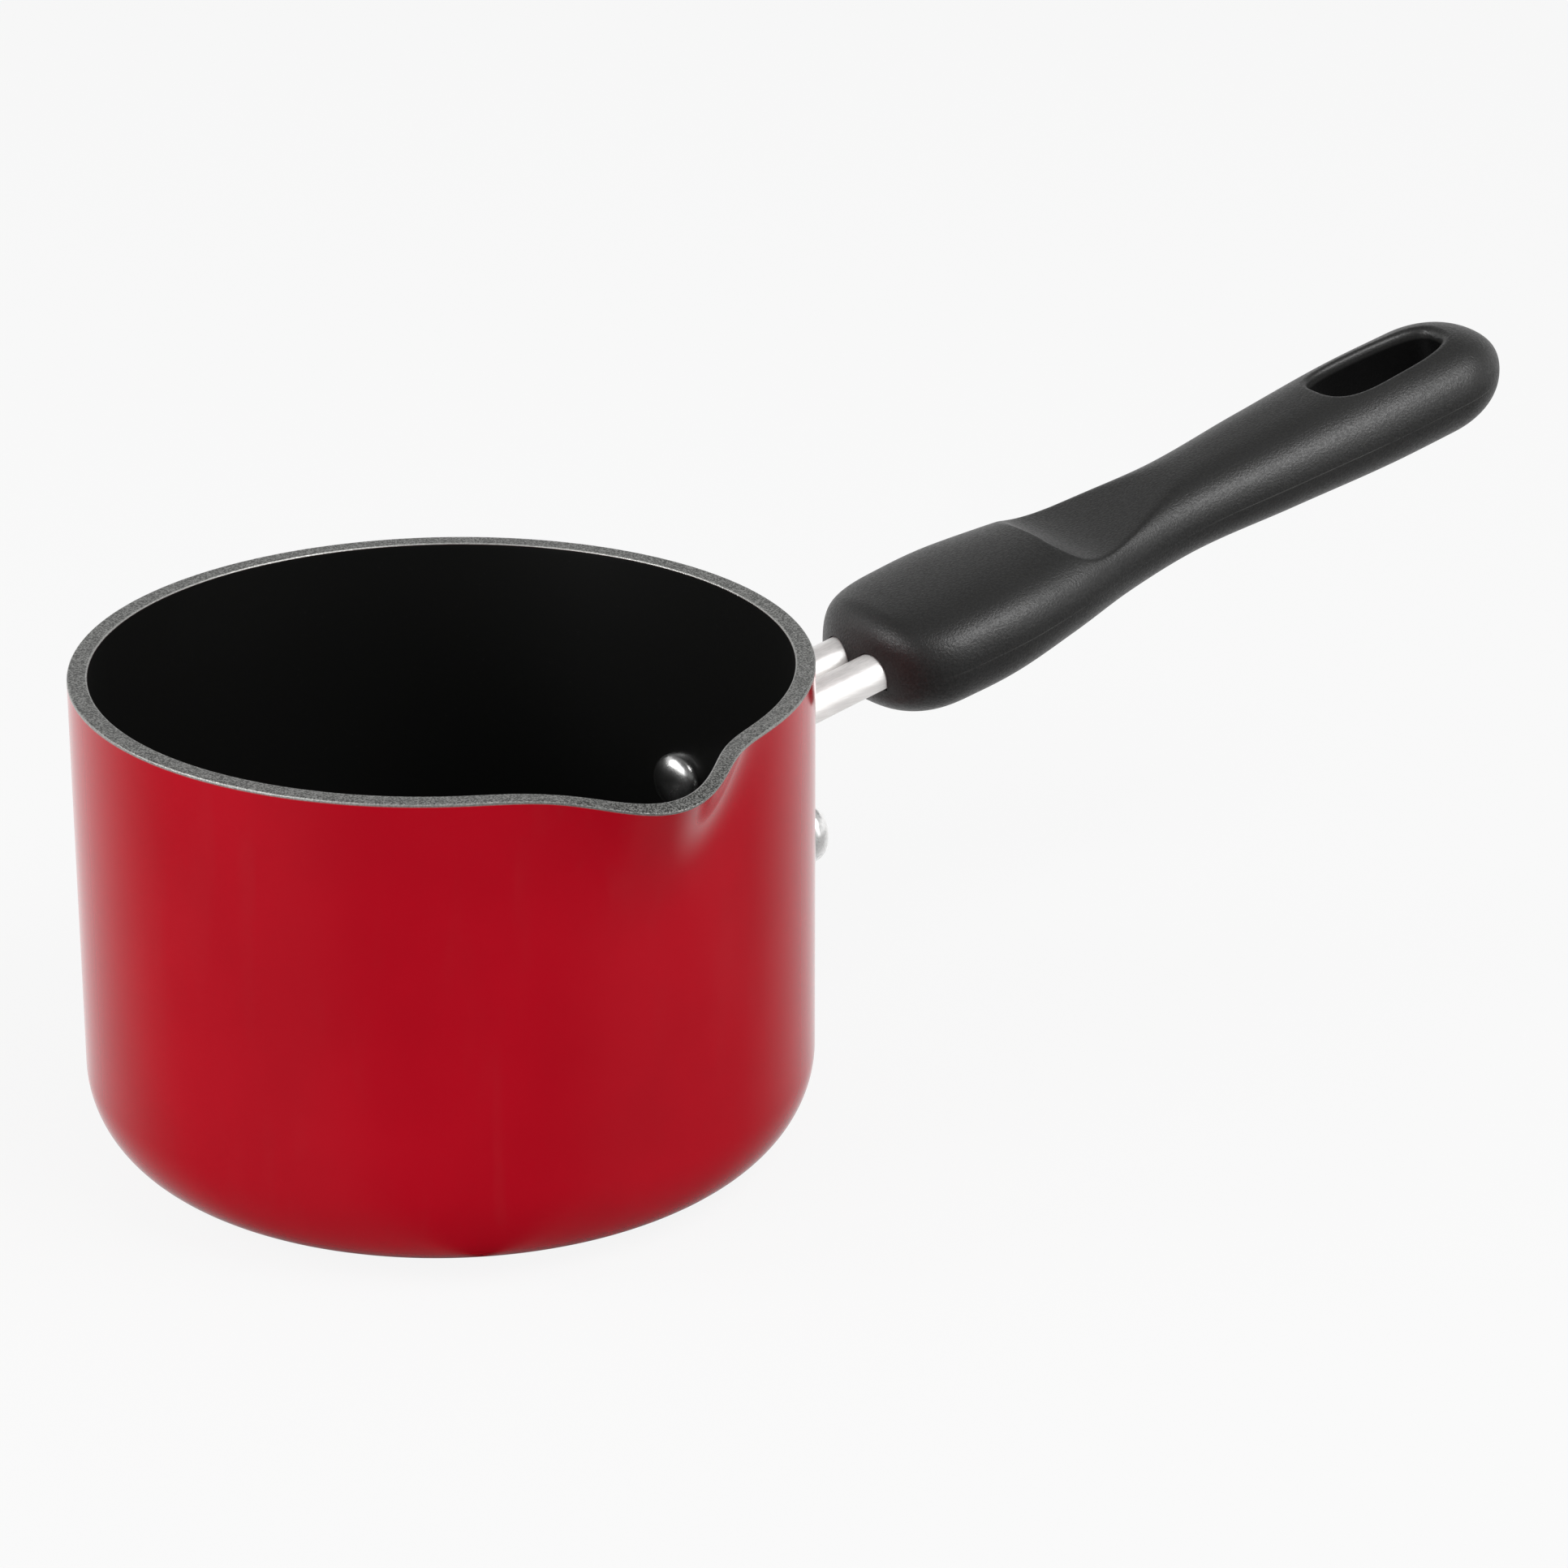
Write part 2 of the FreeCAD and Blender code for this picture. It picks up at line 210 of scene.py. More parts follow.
def makeFineGrain():
    # specks of one size, sharpened between two levels
    group, start, end = newGroup("fineGrain", [
        ("Vector", "NodeSocketVector", None),
        ("Scale", "NodeSocketFloat", 2000.0),
        ("Low", "NodeSocketFloat", 0.35),
        ("High", "NodeSocketFloat", 0.65),
    ], ["Speck", "Soft"])
    noise = addNode(group, "ShaderNodeTexNoise", {
        "Vector": start.outputs["Vector"], "Scale": start.outputs["Scale"], "Detail": 2.0, "Roughness": 0.6})
    sharp = rangeNode(group, noise.outputs[0], start.outputs["Low"], start.outputs["High"])
    group.links.new(sharp, end.inputs["Speck"])
    group.links.new(noise.outputs[0], end.inputs["Soft"])
    return group


wipes = dict(stretch=(1.0, 1.0, 0.12), cloudLevels=(0.35, 0.7), strokeLevels=(0.5, 0.75))


def makeWipeMarks():
    # broad cloudy patches with long fine strokes in them, as handling and wiping leave
    group, start, end = newGroup("wipeMarks", [
        ("Vector", "NodeSocketVector", None),
        ("Cloud Scale", "NodeSocketFloat", 18.0),
        ("Stroke Scale", "NodeSocketFloat", 220.0),
    ], ["Cloud", "Stroke"])
    cloud = addNode(group, "ShaderNodeTexNoise", {
        "Vector": start.outputs["Vector"], "Scale": start.outputs["Cloud Scale"], "Detail": 3.0})
    longer = vectorNode(group, "MULTIPLY", start.outputs["Vector"], wipes["stretch"])
    stroke = addNode(group, "ShaderNodeTexNoise", {
        "Vector": longer, "Scale": start.outputs["Stroke Scale"], "Detail": 3.0, "Distortion": 0.4})
    group.links.new(rangeNode(group, cloud.outputs[0], *wipes["cloudLevels"]), end.inputs["Cloud"])
    group.links.new(rangeNode(group, stroke.outputs[0], *wipes["strokeLevels"]), end.inputs["Stroke"])
    return group


fineGrain = makeFineGrain()
wipeMarks = makeWipeMarks()


def newMaterial(name):
    material = bpy.data.materials.new(name)
    material.use_nodes = True
    tree = material.node_tree
    tree.nodes.clear()
    shader = addNode(tree, "ShaderNodeBsdfPrincipled")
    end = addNode(tree, "ShaderNodeOutputMaterial")
    tree.links.new(shader.outputs[0], end.inputs[0])
    place = addNode(tree, "ShaderNodeTexCoord").outputs["Object"]
    return material, tree, shader, place


def useGroup(tree, group, **inputs):
    made = addNode(tree, "ShaderNodeGroup", node_tree=group)
    for key, value in inputs.items():
        socket = made.inputs[key.replace("_", " ")]
        if isinstance(value, bpy.types.NodeSocket):
            tree.links.new(value, socket)
        else:
            socket.default_value = value
    return made


def grainNode(tree, place, scale, levels=(0.35, 0.65)):
    low, high = levels
    return useGroup(tree, fineGrain, Vector=place, Scale=scale, Low=low, High=high).outputs


def wipeNode(tree, place, values):
    return useGroup(tree, wipeMarks, Vector=place, Cloud_Scale=values["cloud"],
                    Stroke_Scale=values["stroke"]).outputs


def dress(piece, material):
    piece.data.materials.clear()
    piece.data.materials.append(material)


# Pan

pan = dict(
    innerRadius=70.0, wall=4.0, height=102.0, baseThickness=4.5, cornerRadius=19.5,
    rimRound=0.45, enamelStop=0.15, baseRun=6.0,
    grooveCount=4, groovePitch=10.0, grooveWidth=1.6, grooveDepth=0.4, grooveFlank=0.15,
    lipDirection=-89.4, lipReach=14.0, lipHeight=34.0, lipHalfAngle=39.0, lipFootAngle=20.0,
    lipSharpness=9, lipTrimStart=2.0, lipTrimRadius=36.0, lipCrowding=40.0, lipRounds=5,
    around=336,
)
pan["outerRadius"] = pan["innerRadius"] + pan["wall"]


def panProfile():
    # half section (radius, height): base, corner, wall, rim, then the inside back to the middle;
    # marks run 0-1 on the base, 1-2 on the enamel, 2-3 on the bare rim, 3-4 on the inside
    outer, inner, height = pan["outerRadius"], pan["innerRadius"], pan["height"]
    corner, rim = pan["cornerRadius"], pan["rimRound"]
    flat = outer - corner
    runs = [np.array([[0.0, 0.0]])]
    for k in range(pan["grooveCount"]):
        end = pan["groovePitch"] * (k + 1)
        start = end - pan["grooveWidth"]
        deep, flank = pan["grooveDepth"], pan["grooveFlank"]
        runs.append(np.array([[start, 0], [start + flank, deep], [end - flank, deep], [end, 0]]))
    runs.append(straight((flat - pan["baseRun"], 0), (flat, 0), count=3))
    baseEnd = sum(len(run) for run in runs) - 1
    runs.append(arcPoints(flat, corner, corner, -90, 0, count=28)[1:])
    enamelTop = height - rim - pan["enamelStop"]
    runs.append(straight((outer, corner), (outer, enamelTop), count=90)[1:])
    enamelEnd = sum(len(run) for run in runs) - 1
    runs.append(arcPoints(outer - rim, height - rim, rim, 0, 90, count=9))
    runs.append(straight((outer - rim, height), (inner + rim, height), count=7)[1:-1])
    runs.append(arcPoints(inner + rim, height - rim, rim, 90, 180, count=9))
    rimEnd = sum(len(run) for run in runs) - 1
    turn = corner - pan["wall"]
    floor = pan["baseThickness"]
    runs.append(straight((inner, height - rim), (inner, floor + turn), count=90)[1:])
    runs.append(arcPoints(inner - turn, floor + turn, turn, 0, -90, count=24)[1:])
    runs.append(straight((inner - turn, floor), (0, floor), count=16)[1:])
    profile = np.concatenate(runs)
    travel = np.concatenate([[0], np.cumsum(np.linalg.norm(np.diff(profile, axis=0), axis=1))])
    marks = np.interp(travel, travel[[0, baseEnd, enamelEnd, rimEnd, -1]], [0, 1, 2, 3, 4])
    return profile, marks


def panSkin():
    # the profile turned about Z; above the shoulder the wall is drawn out at the lip by
    # reach * share^2 * (1 - across^2)^sharpness, and the rim falls along an arc to its tip;
    # the columns crowd together round the lip
    profile, marks = panProfile()
    u = np.linspace(0, 1, pan["around"], endpoint=False)
    offset = 360 * u - pan["lipCrowding"] * np.sin(2 * np.pi * u)
    offset = np.where(offset > 180, offset - 360, offset)
    turn = np.radians(pan["lipDirection"] + offset)[None, :]
    radius, level = profile[:, :1], profile[:, 1:]
    below = pan["height"] - pan["lipHeight"]
    hold = np.clip((level - below) / pan["lipHeight"], 0, 1)
    start = pan["outerRadius"] - pan["lipTrimStart"]
    z = level + 0 * turn
    for settle in range(pan["lipRounds"]):
        share = np.clip((z - below) / pan["lipHeight"], 0, 1)
        half = pan["lipFootAngle"] + (pan["lipHalfAngle"] - pan["lipFootAngle"]) * share
        across = np.clip(offset[None, :] / half, -1, 1)
        reach = radius + pan["lipReach"] * share ** 2 * (1 - across ** 2) ** pan["lipSharpness"]
        out = np.maximum(reach * np.cos(np.radians(offset))[None, :] - start, 0)
        fall = pan["lipTrimRadius"] - np.sqrt(pan["lipTrimRadius"] ** 2 - out ** 2)
        z = level - fall * hold
    points = np.stack([reach * np.cos(turn), reach * np.sin(turn), z], axis=-1)
    return points, marks[:, None]


panLooks = dict(
    enamel=(0.31, 0.0014, 0.008, 1), enamelDeep=(0.28, 0.001, 0.0068, 1), enamelRough=0.13, gloss=0.3,
    cloud=22.0, stroke=160.0, strokeRough=0.05, peel=900.0, peelLift=0.04,
    rimDark=(0.05, 0.051, 0.048, 1), rimLight=(0.25, 0.252, 0.242, 1), rimGrain=2800.0,
    rimLevels=(0.43, 0.6), rimRough=0.42, rimMetal=0.55,
    # the rim's edges: smoother, more metallic, and painted lighter as a painted highlight, stronger on the
    # inner edge
    edgePolishHighlight=(0.62, 0.62, 0.6, 1), edgeRough=0.3, outerPolishHighlight=0.38, innerPolishHighlight=0.55,
    coat=(0.0048, 0.0048, 0.0046, 1), coatSpeck=(0.012, 0.012, 0.012, 1), coatGrain=1800.0,
    coatLevels=(0.66, 0.78), coatRough=0.33, coatLift=0.35,
    metal=(0.72, 0.72, 0.71, 1), metalDark=(0.55, 0.55, 0.54, 1), baseRough=0.34,
    turnedRings=9000.0, ringLift=0.3, bump=0.35, bumpDepth=0.0001,
)

# marks between which one zone gives way to the next, and where the rim's two edges are made smoother and
# more metallic and painted lighter, a painted highlight along each edge
panZones = dict(baseEnd=(0.93, 0.94), enamelEnd=(1.998, 2.002), rimEnd=(2.97, 2.99),
                outerEdge=(2.06, 2.16), innerEdge=(2.84, 2.93))


def enamelMaterial(values):
    # one finish with four zones along the profile: bare base, red enamel, grainy rim, black coating
    material, tree, shader, place = newMaterial("panFinish")
    mark = markNode(tree)
    base = rangeNode(tree, mark, *panZones["baseEnd"], 1.0, 0.0)
    bare = mathNode(tree, "MULTIPLY", rangeNode(tree, mark, *panZones["enamelEnd"]),
                    rangeNode(tree, mark, *panZones["rimEnd"], 1.0, 0.0))
    inside = rangeNode(tree, mark, *panZones["rimEnd"])

    marks = wipeNode(tree, place, values)
    enamel = mixColour(tree, marks["Cloud"], values["enamelDeep"], values["enamel"])
    speck = grainNode(tree, place, values["rimGrain"], values["rimLevels"])["Speck"]
    rim = mixColour(tree, speck, values["rimDark"], values["rimLight"])
    # painted highlight along the rim's two rounded edges, which are also made smoother and more metallic
    polishAndHighlight = mathNode(tree, "MAXIMUM",
                        rangeNode(tree, mark, *panZones["outerEdge"], values["outerPolishHighlight"], 0.0),
                        rangeNode(tree, mark, *panZones["innerEdge"], 0.0, values["innerPolishHighlight"]))
    rim = mixColour(tree, polishAndHighlight, rim, values["edgePolishHighlight"])
    dots = grainNode(tree, place, values["coatGrain"], values["coatLevels"])
    coat = mixColour(tree, dots["Speck"], values["coat"], values["coatSpeck"])
    out = vectorNode(tree, "LENGTH", vectorNode(tree, "MULTIPLY", place, (1.0, 1.0, 0.0)))
    ring = mathNode(tree, "SINE", mathNode(tree, "MULTIPLY", out, values["turnedRings"]))
    turned = mixColour(tree, rangeNode(tree, ring, -1.0, 1.0), values["metalDark"], values["metal"])

    colour = mixColour(tree, base, enamel, turned)
    colour = mixColour(tree, bare, colour, rim)
    colour = mixColour(tree, inside, colour, coat)
    tree.links.new(colour, shader.inputs["Base Color"])

    smooth = values["enamelRough"]
    rough = rangeNode(tree, marks["Stroke"], 0.0, 1.0, smooth, smooth + values["strokeRough"])
    rough = mixValue(tree, base, rough, values["baseRough"])
    rough = mixValue(tree, bare, rough, mixValue(tree, polishAndHighlight, values["rimRough"], values["edgeRough"]))
    rough = mixValue(tree, inside, rough, values["coatRough"])
    tree.links.new(rough, shader.inputs["Roughness"])
    metal = mathNode(tree, "MULTIPLY", bare, mixValue(tree, polishAndHighlight, values["rimMetal"], 1.0))
    metal = mathNode(tree, "ADD", base, metal, clamp=True)
    tree.links.new(metal, shader.inputs["Metallic"])
    shader.inputs["Specular IOR Level"].default_value = values["gloss"]

    peel = grainNode(tree, place, values["peel"])["Soft"]
    lift = mixValue(tree, bare, mathNode(tree, "MULTIPLY", peel, values["peelLift"]), speck)
    lift = mixValue(tree, inside, lift, mathNode(tree, "MULTIPLY", dots["Soft"], values["coatLift"]))
    lift = mixValue(tree, base, lift, mathNode(tree, "MULTIPLY", ring, values["ringLift"]))
    bumpNode(tree, shader, lift, values)
    return material


panPoints, panMarks = panSkin()
panBody = makePiece("panBody", [(panPoints, True, panMarks)])
dress(panBody, enamelMaterial(panLooks))
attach(panBody, "root")
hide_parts("pan_body")
print("pan made")


# Metals

# what all the metals share: fine lines, cloudiness and how deep the lines are
metalGrain = dict(levels=(0.3, 0.75), cloud=90.0, stroke=600.0, cloudRough=0.1, bump=0.25, bumpDepth=0.00003)


def metalMaterial(name, values):
    # bright metal with fine polishing lines and a little cloudiness, duller where its mark is 1
    material, tree, shader, place = newMaterial(name)
    drawn = vectorNode(tree, "MULTIPLY", place, values["lines"])
    line = grainNode(tree, drawn, values["lineScale"], metalGrain["levels"])
    cloud = wipeNode(tree, place, metalGrain)["Cloud"]
    colour = mixColour(tree, line["Speck"], values["dark"], values["light"])
    tree.links.new(colour, shader.inputs["Base Color"])
    rough = mixValue(tree, cloud, values["rough"], values["rough"] + metalGrain["cloudRough"])
    tree.links.new(rough, shader.inputs["Roughness"])
    tree.links.new(mixValue(tree, markNode(tree), 1.0, values["metal"]), shader.inputs["Metallic"])
    bumpNode(tree, shader, line["Soft"], metalGrain)
    return material


steelLooks = dict(dark=(0.8, 0.795, 0.78, 1), light=(0.93, 0.925, 0.91, 1), rough=0.34, metal=0.45,
                  lines=(0.06, 1.0, 1.0), lineScale=2200.0)
rivetLooks = dict(dark=(0.74, 0.74, 0.735, 1), light=(0.9, 0.9, 0.89, 1), rough=0.22, metal=0.7,
                  lines=(1.0, 1.0, 1.0), lineScale=1800.0)
brassLooks = dict(dark=(0.5, 0.33, 0.1, 1), light=(0.74, 0.52, 0.2, 1), rough=0.3, metal=1.0,
                  lines=(1.0, 1.0, 0.1), lineScale=1500.0)
steel = metalMaterial("bracketSteel", steelLooks)
rivetMetal = metalMaterial("rivetMetal", rivetLooks)
brass = metalMaterial("insertBrass", brassLooks)


# Rivets

rivets = dict(spacing=40.0, level=54.9, diameter=6.0, headDiameter=12.3, outerHeight=4.8, innerHeight=3.4,
              sheet=1.8, edge=0.5, crownPower=0.86, headSunk=0.4, shankSunk=0.6, domePoints=26, around=72)


def rivetSkin(side):
    # a profile turned about the rivet's own axis: low dome, shank, full dome
    wallIn, plateOut = pan["innerRadius"], pan["outerRadius"] + rivets["sheet"]
    head, shank = rivets["headDiameter"] / 2, rivets["diameter"] / 2

    def domeRun(height):
        # an elliptic crown on a short rounded edge, from its top down to its foot
        turn = np.radians(np.linspace(90, 0, rivets["domePoints"]))
        edge = rivets["edge"]
        out, up = head * np.cos(turn) ** rivets["crownPower"], edge + (height - edge) * np.sin(turn)
        return np.concatenate([np.stack([out, up], axis=-1), [[head, -rivets["headSunk"]]]])

    inner = domeRun(rivets["innerHeight"]) * (1, -1) + (0, wallIn)
    outer = domeRun(rivets["outerHeight"])[::-1] + (0, plateOut)
    shankRun = [[shank, wallIn + rivets["shankSunk"]], [shank, plateOut - rivets["shankSunk"]]]
    profile = np.concatenate([inner, shankRun, outer])
    turn = np.linspace(0, 2 * np.pi, rivets["around"], endpoint=False)[None, :]
    place = math.asin(rivets["spacing"] / 2 / plateOut) * side
    ahead = np.array([math.cos(place), math.sin(place), 0])
    aside = np.array([-math.sin(place), math.cos(place), 0])
    up = np.array([0, 0, 1.0])
    spoke = np.cos(turn)[..., None] * aside + np.sin(turn)[..., None] * up
    points = profile[:, :1, None] * spoke + profile[:, 1:, None] * ahead + up * rivets["level"]
    return points, (profile[:, 1:] > pan["outerRadius"]).astype(float)


for side, nodeName in ((1, "rivet_left"), (-1, "rivet_right")):
    rivetPoints, rivetMark = rivetSkin(side)
    pieceName = "rivetHead.left" if side > 0 else "rivetHead.right"
    rivetPiece = makePiece(pieceName, [(rivetPoints, True, rivetMark)])
    dress(rivetPiece, rivetMetal)
    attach(rivetPiece, "root")
    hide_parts(nodeName)
print("rivets made")


# Handle line, shared by the bracket and the grip

handleLine = dict(start=98.5, level=79.4, tilt=12.8)


def parting(x):
    return handleLine["level"] + math.tan(math.radians(handleLine["tilt"])) * (x - handleLine["start"])


# Bracket

bracket = dict(
    sheet=1.8, ribRadius=5.0, ribGap=2.0, ribSkirt=1.4, footRound=0.3,
    neckDrop=0.4, neckInside=19.0, neckPoints=18, neckCrowding=1.8,
    flare=4.0, flareSide=0.25, flareDown=0.5,
    plateBottom=45.4, plateTop=81.4, plateStep=63.4, plateWide=29.0, plateNarrow=13.5, plateCorner=7.0,
    shoulderTurn=60, shoulderIn=1.1, shoulderOut=1.5, shoulderDrop=1.0,
    backEnd=0.985, frontStart=0.97, edgeRound=0.6, edgeShrink=0.018, edgeFoot=0.1, plateSunk=0.02,
    platePoints=240, sharpAngle=50,
)


def neckLoop():
    # outline of the ribbed sheet (across, height): over both ribs outside, back along the inside
    half = bracket["ribRadius"] + bracket["ribGap"] / 2
    outer, inner = bracket["ribRadius"], bracket["ribRadius"] - bracket["sheet"]
    valley, web = half - outer, half - inner
    foot = bracket["footRound"]
    low = foot - bracket["ribSkirt"]
    over = np.concatenate([
        straight((-half - outer, low), (-half - outer, 0), count=5)[:-1],
        arcPoints(-half, 0, outer, 180, 0, count=25),
        arcPoints(0, 0, valley, 180, 360, count=9)[1:-1],
        arcPoints(half, 0, outer, 180, 0, count=25),
        straight((half + outer, 0), (half + outer, low), count=5)[1:],
    ])
    under = np.concatenate([
        straight((half + inner, low), (half + inner, 0), count=5)[:-1],
        arcPoints(half, 0, inner, 0, 180, count=25),
        arcPoints(0, 0, web, 0, -180, count=9)[1:-1],
        arcPoints(-half, 0, inner, 0, 180, count=25),
        straight((-half - inner, 0), (-half - inner, low), count=5)[1:],
    ])
    footRight = arcPoints(half + (outer + inner) / 2, low, foot, 0, -180, count=5)
    footLeft = arcPoints(-half - (outer + inner) / 2, low, foot, 0, -180, count=5)
    return np.concatenate([over, footRight[1:-1], under, footLeft[1:-1]])


def neckSkin():
    # the loop carried along the handle's line from the wall into the grip, flaring where it meets the plate
    plate = pan["outerRadius"] + bracket["sheet"]
    run = np.linspace(0, 1, bracket["neckPoints"]) ** bracket["neckCrowding"]
    loop = neckLoop()
    y, h = loop[None, :, 0], loop[None, :, 1]
    first = np.sqrt(plate ** 2 - y ** 2) - bracket["sheet"] / 2
    last = handleLine["start"] + bracket["neckInside"]
    x = first + run[:, None] * (last - first)
    near = np.clip(1 - (x - first - bracket["sheet"] / 2) / bracket["flare"], 0, 1)
    spread = bracket["flare"] * (1 - np.sqrt(np.clip(1 - near ** 2, 0, 1)))
    neckHalf = 2 * bracket["ribRadius"] + bracket["ribGap"] / 2
    y = y * (1 + bracket["flareSide"] * spread / neckHalf)
    h = h - bracket["flareDown"] * spread * (h < 0)
    points = np.stack([x, y + 0 * x, parting(x) - bracket["neckDrop"] + h], axis=-1)
    ends = [np.repeat(points[k].mean(0)[None], points.shape[1], axis=0)[None] for k in (0, -1)]
    return np.concatenate([ends[0], points, ends[1]])


def plateOutline(count):
    # rounded outline of the foot (across, height): wide at the rivets, narrow at the neck
    wide, narrow, c = bracket["plateWide"], bracket["plateNarrow"], bracket["plateCorner"]
    bottom, step, top = bracket["plateBottom"], bracket["plateStep"], bracket["plateTop"]
    shoulder = (wide - c * bracket["shoulderIn"], step)
    armpit = (narrow + bracket["shoulderOut"], top - c - bracket["shoulderDrop"])
    right = np.concatenate([
        straight((0, bottom), (wide - c, bottom), count=10)[:-1],
        arcPoints(wide - c, bottom + c, c, -90, 0, count=12),
        arcPoints(wide - c, step - c, c, 0, bracket["shoulderTurn"], count=9)[1:],
        straight(shoulder, armpit, count=8)[1:],
        arcPoints(narrow - c, top - c, c, 0, 90, count=10),
        straight((narrow - c, top), (0, top), count=5)[1:],
    ])
    loop = np.concatenate([right, (right[::-1] * (-1, 1))[1:-1]])
    closed = np.vstack([loop, loop[:1]])
    travel = np.concatenate([[0], np.cumsum(np.linalg.norm(np.diff(closed, axis=0), axis=1))])
    even = np.linspace(0, travel[-1], count, endpoint=False)
    return np.stack([np.interp(even, travel, closed[:, 0]), np.interp(even, travel, closed[:, 1])], axis=-1)


def plateSkin():
    # the outline shrunk to its middle on the back and front faces, with a rounded edge, wrapped on the wall
    outline = plateOutline(bracket["platePoints"])
    middle = np.array([0.0, (bracket["plateBottom"] + bracket["plateStep"]) / 2])
    thick, r, shrink = bracket["sheet"], bracket["edgeRound"], bracket["edgeShrink"]
    back = [(s, 0.0) for s in np.linspace(0, bracket["backEnd"], 12)]
    edge = [(1 - shrink * (1 - math.cos(t)), thick - r + r * math.sin(t))
            for t in np.linspace(0, math.pi / 2, 6)]
    front = [(s, thick) for s in np.linspace(bracket["frontStart"], 0, 12)]
    rows = np.array(back + [(1.0, bracket["edgeFoot"])] + edge + front)
    flat = middle + rows[:, :1, None] * (outline - middle)[None]
    out = pan["outerRadius"] + rows[:, 1:] - bracket["plateSunk"]
    y = flat[..., 0]
    return np.stack([np.sqrt(np.maximum(out ** 2 - y ** 2, 0)), y, flat[..., 1]], axis=-1)


bracketPiece = makePiece("handleBracket", [(neckSkin(), True, 1.0), (plateSkin(), True, 1.0)],
                         bracket["sharpAngle"])
dress(bracketPiece, steel)
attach(bracketPiece, "root")
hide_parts("handle_bracket")
print("bracket made")


# Grip

grip = dict(
    length=170.2, noseRound=17.5, noseBluntness=2.6, noseTopRound=6.5, endRound=18.0, endBluntness=2.1,
    fullness=0.63, noseFullness=0.1, noseEnd=50.0, noseFade=30.0,
    # distance from the nose, half width, height above and depth below the parting plane
    sections=[(0.0, 21.2, 11.35, 11.1), (17.7, 22.0, 11.55, 11.35), (29.5, 22.2, 11.6, 11.4),
              (45.5, 20.05, 11.05, 10.7), (63.2, 15.8, 10.0, 9.45), (81.0, 13.5, 9.3, 8.7),
              (109.0, 15.2, 10.4, 9.5), (137.0, 16.9, 11.4, 10.4), (152.5, 16.8, 11.3, 10.5),
              (170.5, 16.4, 11.2, 10.6)],
    ledgePlace=45.5, ledgeFall=5.6, ledgeDepth=6.2, ledgeSoft=0.5, scoopEnd=88.0,
    ledgeClear=8.0, ledgeLead=0.8, ledgeRun=0.9,
    slotMiddle=142.2, slotHalfLength=16.4, slotFrontWidth=8.5, slotBackWidth=6.6, slotBluntness=3.0,
    slotRound=1.7,
    # how the sections turn from leaning to upright at the slot, so that its walls stand upright
    leanLead=12.0, leanRun=9.0, leanTail=12.0, leanRounds=4,
    # spacing of the skin's points
    ledgeBefore=3.0, ledgeAfter=9.0, slotMargin=3.0, tipTurn=0.02, sideCrowding=1.25, curvePoints=400,
    halfPoints=56, wallPoints=14, weld=0.01, sharpAngle=45,
    # marks inside the slot and the cuts, where the painted shade goes, and on the two closing caps
    hollowShadeMark=30.0, capMark=5.0,
)
leanShare = math.sin(math.radians(handleLine["tilt"])) * math.cos(math.radians(handleLine["tilt"]))


def rounded(share, bluntness):
    # how full a rounded end is at a share of its depth
    return (1 - (1 - np.clip(share, 0, 1)) ** bluntness) ** (1 / bluntness)


def gripSizes(place):
    # half width, rise and fall of the section, with a blunt nose and a rounded end
    table = np.array(grip["sections"])
    end = rounded((grip["length"] - place) / grip["endRound"], grip["endBluntness"])
    sizes = []
    for column, depth in ((1, grip["noseRound"]), (2, grip["noseTopRound"]), (3, grip["noseRound"])):
        nose = rounded(place / depth, grip["noseBluntness"])
        sizes.append(smoothCurve(place, table[:, 0], table[:, column]) * nose * end)
    return sizes


def slotShape(place):
    # share of the slot's half length, and the half width it tapers to, at a distance from the nose
    share = (place - grip["slotMiddle"]) / grip["slotHalfLength"]
    middle = (np.clip(share, -1, 1) + 1) / 2
    return share, grip["slotFrontWidth"] + (grip["slotBackWidth"] - grip["slotFrontWidth"]) * middle


def slotDistance(place, y):
    # nearly the distance to the blunt oval slot: its own measure divided by how fast that grows
    n, (px, wide) = grip["slotBluntness"], slotShape(place)
    px, py = np.abs(px), np.abs(y / wide)
    measure = np.maximum((px ** n + py ** n) ** (1 / n), tiny)
    slopes = [(p / measure) ** (n - 1) / size for p, size in ((px, grip["slotHalfLength"]), (py, wide))]
    return (measure - 1) / np.hypot(*slopes)


def slotHalf(place):
    # half width of the slot at a distance from the nose
    n, (share, wide) = grip["slotBluntness"], slotShape(place)
    return wide * np.clip(1 - np.abs(share) ** n, 0, 1) ** (1 / n)


def sectionCurve(t, f):
    # share of the half width and of the height, from the side (0) to the crown (1)
    wide = (1 - t) ** 3 + 3 * t * (1 - t) ** 2 + 3 * t ** 2 * (1 - t) * f
    high = 3 * t * (1 - t) ** 2 * f + 3 * t ** 2 * (1 - t) + t ** 3
    return wide, high


def gripStations():
    # places along the grip, close together at the nose, the ledge, the slot's ends and the tip
    front = grip["slotMiddle"] - grip["slotHalfLength"]
    back = grip["slotMiddle"] + grip["slotHalfLength"]
    first, last = grip["ledgePlace"] - grip["ledgeBefore"], grip["ledgePlace"] + grip["ledgeAfter"]
    slotStart, tipStart = front - grip["slotMargin"], back + grip["slotMargin"]
    turn = (1 - np.cos(np.linspace(0, np.pi, 70))) / 2
    tip = 1 - np.sin(np.linspace(0, np.pi / 2 - grip["tipTurn"], 34))
    return np.concatenate([
        grip["noseRound"] * (1 - np.cos(np.linspace(grip["tipTurn"], np.pi / 2, 48))),
        straight(grip["noseRound"], first, count=24)[1:],
        straight(first, last, count=50)[1:],
        straight(last, slotStart, count=46)[1:],
        straight(slotStart, front, count=12)[1:],
        front + (back - front) * turn[1:],
        straight(back, tipStart, count=12)[1:],
        grip["length"] - (grip["length"] - tipStart) * tip[1:],
    ]), front, back


